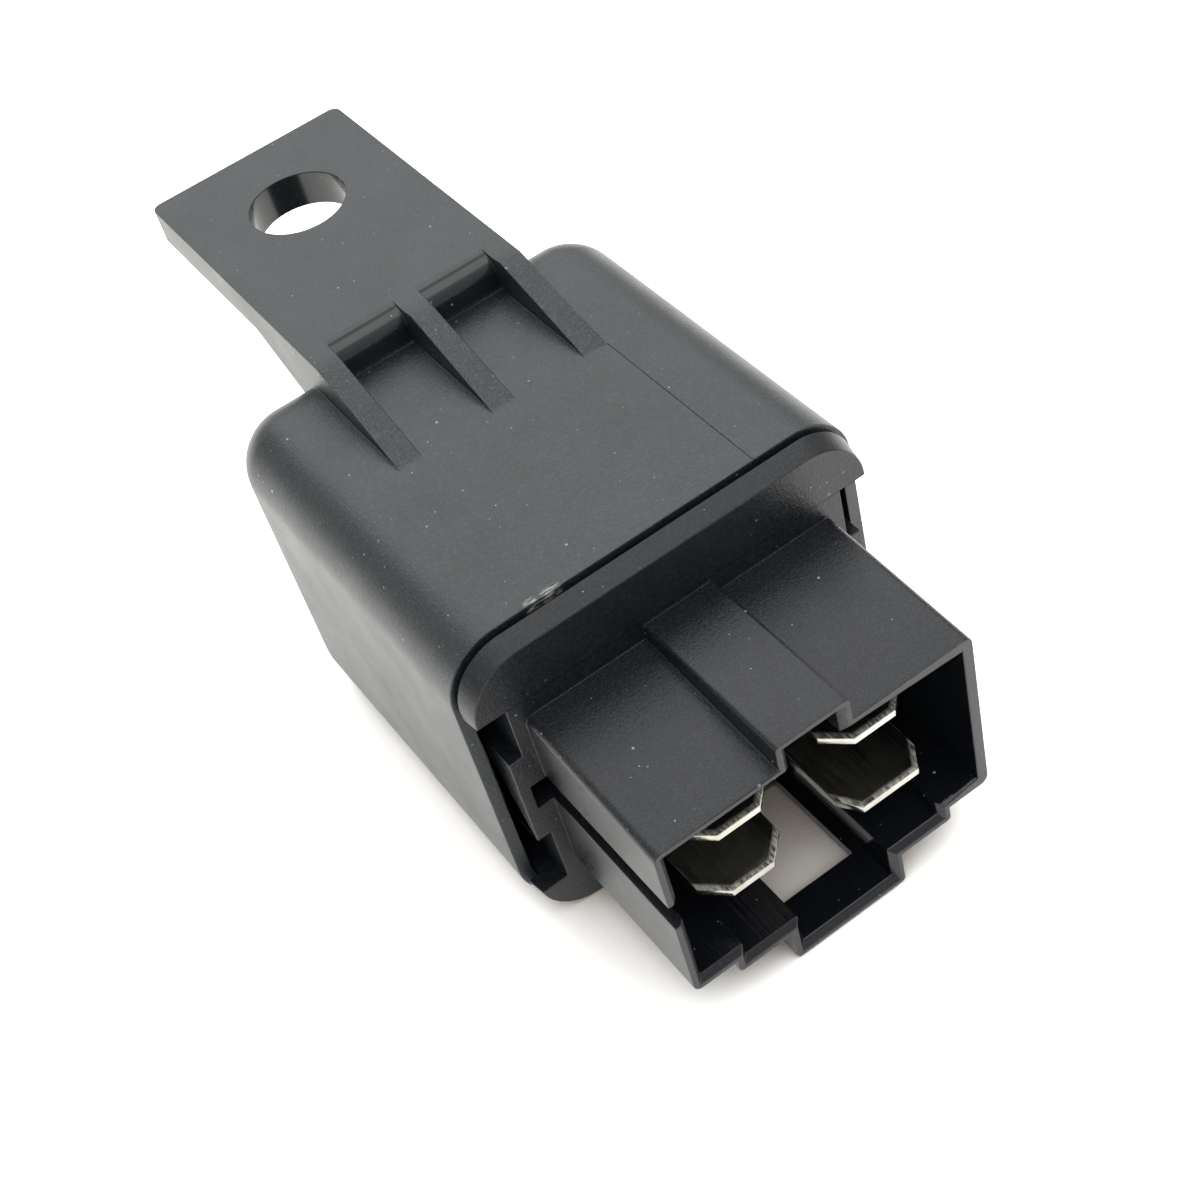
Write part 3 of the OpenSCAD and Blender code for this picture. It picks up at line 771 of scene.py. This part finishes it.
def set_camera(scene):
    """Camera over the socket's end, rolled so that the tab points to the upper left."""
    forward = Vector(CAMERA_FORWARD).normalized()
    up = Vector(CAMERA_RIGHT).cross(forward).normalized()
    right = forward.cross(up)
    lens = bpy.data.cameras.new("camera")
    lens.sensor_width = SENSOR_MM
    lens.lens = LENS_MM
    lens.clip_start, lens.clip_end = CLIP
    holder = bpy.data.objects.new("camera", lens)
    scene.collection.objects.link(holder)
    axes = Matrix((right, up, -forward)).transposed()
    holder.matrix_world = Matrix.Translation(Vector(CAMERA_MM) * MM) @ axes.to_4x4()
    scene.camera = holder
    scene.view_settings.view_transform = "Standard"


# ---------------------------------------------------------------- settings


class RelayPlasticSettings(bpy.types.PropertyGroup):
    """Sizes of the moulded plastic's finish."""

    edge: FloatProperty(
        name="Edge radius",
        description="Rounding left on the moulded edges",
        default=0.08 * MM,
        min=0.02 * MM,
        max=0.2 * MM,
        subtype="DISTANCE",
        unit="LENGTH",
    )
    cover_roughness: FloatProperty(
        name="Cover roughness",
        description="Roughness of the cover's satin skin",
        default=0.36,
        min=0.2,
        max=0.8,
        subtype="FACTOR",
    )
    base_roughness: FloatProperty(
        name="Base roughness",
        description="Roughness of the base's satin skin",
        default=0.30,
        min=0.2,
        max=0.8,
        subtype="FACTOR",
    )


class RelayMetalSettings(bpy.types.PropertyGroup):
    """Sizes of the stamped metal's finish."""

    edge: FloatProperty(
        name="Stamped edge",
        description="Rounding left on the stamped edges",
        default=0.06 * MM,
        min=0.02 * MM,
        max=0.1 * MM,
        subtype="DISTANCE",
        unit="LENGTH",
    )
    blade_roughness: FloatProperty(
        name="Blade roughness",
        description="Roughness of the blades' plating",
        default=0.2,
        min=0.05,
        max=0.6,
        subtype="FACTOR",
    )


class RelayStageSettings(bpy.types.PropertyGroup):
    """Light and floor."""

    sky: FloatProperty(
        name="Sky level",
        description="Brightness of the even light from overhead",
        default=1.0,
        min=0.0,
        max=2.0,
    )
    horizon: FloatProperty(
        name="Horizon level",
        description="Brightness of the even light from the horizon",
        default=0.5,
        min=0.0,
        max=2.0,
    )
    lamp: FloatProperty(
        name="Softbox level",
        description="Brightness of each softbox's face",
        default=1.35,
        min=0.0,
        max=10.0,
    )
    floor_tint: FloatVectorProperty(
        name="Floor colour",
        description="Colour of the plain floor in the light that it throws back",
        default=hex_colour("E8E8E8")[:3],
        size=3,
        min=0.0,
        max=1.0,
        subtype="COLOR",
    )
    floor_shown: FloatVectorProperty(
        name="Floor as seen",
        description="Colour of the open floor to the camera and in reflections",
        default=(1.74, 1.72, 1.66),
        size=3,
        min=0.0,
        max=3.0,
        subtype="COLOR",
    )
    # Painted shade: the floor's colour where the relay closes over it, standing in for its contact
    # shadow.
    floor_painted_shade: FloatVectorProperty(
        name="Floor painted shade",
        description="Colour of the floor to the camera where the relay closes over it",
        default=(0.45, 0.33, 0.26),
        size=3,
        min=0.0,
        max=3.0,
        subtype="COLOR",
    )


# ---------------------------------------------------------------- operators


class RELAY_OT_cover(bpy.types.Operator):
    """Finish the moulded cover with its bolt tab"""

    bl_idname = "relay.cover"
    bl_label = "Moulded cover"

    def execute(self, context):
        settings = context.scene.relay_plastic
        piece = merged_copy("cover", "moulded_cover")
        mouth_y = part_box("cover")[0].y
        parting_lines = [
            (
                (side * TAB_HALF - WITNESS_REACH, mouth_y - MM, COVER_TOP - WITNESS_REACH),
                (side * TAB_HALF + WITNESS_REACH, WITNESS_END, COVER_TOP + WITNESS_REACH),
            )
            for side in (-1, 1)
        ]
        lift_left_line(piece)
        soften_edges(piece, settings.edge, keep_out=parting_lines)
        smooth_finish(piece)
        hand_over(piece, "cover", cover_plastic(settings.cover_roughness))
        return {"FINISHED"}


class RELAY_OT_base(bpy.types.Operator):
    """Finish the moulded base with its keyed socket"""

    bl_idname = "relay.base"
    bl_label = "Moulded base"

    def execute(self, context):
        settings = context.scene.relay_plastic
        piece = merged_copy("base", "moulded_base", BASE_MERGE)
        open_the_mouth(piece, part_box("base")[0].y)
        soften_edges(piece, settings.edge)
        smooth_finish(piece)
        hand_over(piece, "base", base_plastic(settings.base_roughness))
        return {"FINISHED"}


class RELAY_OT_blades(bpy.types.Operator):
    """Finish the four tin-plated blades"""

    bl_idname = "relay.blades"
    bl_label = "Blades"

    def execute(self, context):
        settings = context.scene.relay_metal
        finish = tin_plate(settings.blade_roughness)
        for node in (
            "common_terminal",
            "contact_terminal",
            "coil_terminal_left",
            "coil_terminal_right",
        ):
            piece = merged_copy(node, node + "_blade")
            soften_edges(piece, settings.edge)
            smooth_finish(piece)
            hand_over(piece, node, finish)
        return {"FINISHED"}


class RELAY_OT_motor(bpy.types.Operator):
    """Finish the coil, core, yoke and leads"""

    bl_idname = "relay.motor"
    bl_label = "Coil and yoke"

    def execute(self, context):
        # Passivated zinc on cold-rolled strip: grey and satin.
        zinc = plated_metal("zinc-plated steel", "B5B3AC", "9A9890", 0.38, STRIP_LINES_MM)
        dress(("yoke", "back_stop"), zinc)
        # Bare drawn iron, annealed and ground: plain grey with a soft shine.
        iron = plated_metal("bright soft iron", "BDBDB9", "A5A29A", 0.3, STRIP_LINES_MM)
        dress(("core",), iron)
        dress(("bobbin",), dull_nylon())
        dress(("winding", "coil_lead_left", "coil_lead_right"), lacquered_wire())
        dress(("winding_tape",), film_tape())
        return {"FINISHED"}


class RELAY_OT_switch(bpy.types.Operator):
    """Finish the armature, springs, contacts and rivets"""

    bl_idname = "relay.switch"
    bl_label = "Armature and contacts"

    def execute(self, context):
        # Stamped iron under a thin bright nickel: smoother and a little warmer than zinc.
        nickel = plated_metal(
            "nickel-plated soft iron", "C4C2BB", "ABA89F", 0.28, STRIP_LINES_MM
        )
        dress(("armature",), nickel)
        # Hard-rolled spring strip: copper-coloured, its lines across the relay.
        bronze = plated_metal(
            "phosphor bronze strip", "C79A63", "A87B4A", 0.26, SPRING_LINES_MM
        )
        dress(("contact_spring", "return_spring"), bronze)
        # Cold-headed steel with a bright skin and no direction in it.
        rivets = plated_metal("bright steel rivets", "C3C1BB", "A9A6A0", 0.3, TURNED_LINES_MM)
        dress(("armature_rivets", "yoke_rivets", "terminal_rivet"), rivets)
        # Sintered and pressed silver alloy: the whitest metal here, and slightly matt.
        silver = plated_metal(
            "silver tin oxide contacts", "DCDAD3", "B9B5AB", 0.34, TURNED_LINES_MM
        )
        dress(("moving_contact", "fixed_contact"), silver)
        return {"FINISHED"}


class RELAY_OT_stage(bpy.types.Operator):
    """Set the floor, the light and the camera"""

    bl_idname = "relay.stage"
    bl_label = "Stage"

    def execute(self, context):
        settings = context.scene.relay_stage
        lay_floor(settings)
        light_studio(context.scene, settings)
        set_camera(context.scene)
        return {"FINISHED"}


class RELAY_PT_panel(bpy.types.Panel):
    """Settings and buttons for each piece of the relay"""

    bl_label = "Relay"
    bl_idname = "RELAY_PT_panel"
    bl_space_type = "VIEW_3D"
    bl_region_type = "UI"
    bl_category = "Relay"

    def draw(self, context):
        column = self.layout.column()
        for group in ("relay_plastic", "relay_metal", "relay_stage"):
            settings = getattr(context.scene, group)
            for name in settings.__annotations__:
                column.prop(settings, name)
        for operator in PIECES:
            column.operator(operator.bl_idname)


PIECES = (
    RELAY_OT_cover,
    RELAY_OT_base,
    RELAY_OT_blades,
    RELAY_OT_motor,
    RELAY_OT_switch,
    RELAY_OT_stage,
)
CLASSES = (
    RelayPlasticSettings,
    RelayMetalSettings,
    RelayStageSettings,
    *PIECES,
    RELAY_PT_panel,
)


def register():
    for cls in CLASSES:
        bpy.utils.register_class(cls)
    bpy.types.Scene.relay_plastic = PointerProperty(type=RelayPlasticSettings)
    bpy.types.Scene.relay_metal = PointerProperty(type=RelayMetalSettings)
    bpy.types.Scene.relay_stage = PointerProperty(type=RelayStageSettings)


def unregister():
    del bpy.types.Scene.relay_stage
    del bpy.types.Scene.relay_metal
    del bpy.types.Scene.relay_plastic
    for cls in reversed(CLASSES):
        bpy.utils.unregister_class(cls)


def main():
    register()
    bpy.ops.relay.cover()
    bpy.ops.relay.base()
    bpy.ops.relay.blades()
    bpy.ops.relay.motor()
    bpy.ops.relay.switch()
    bpy.ops.relay.stage()


if __name__ == "__main__":
    main()
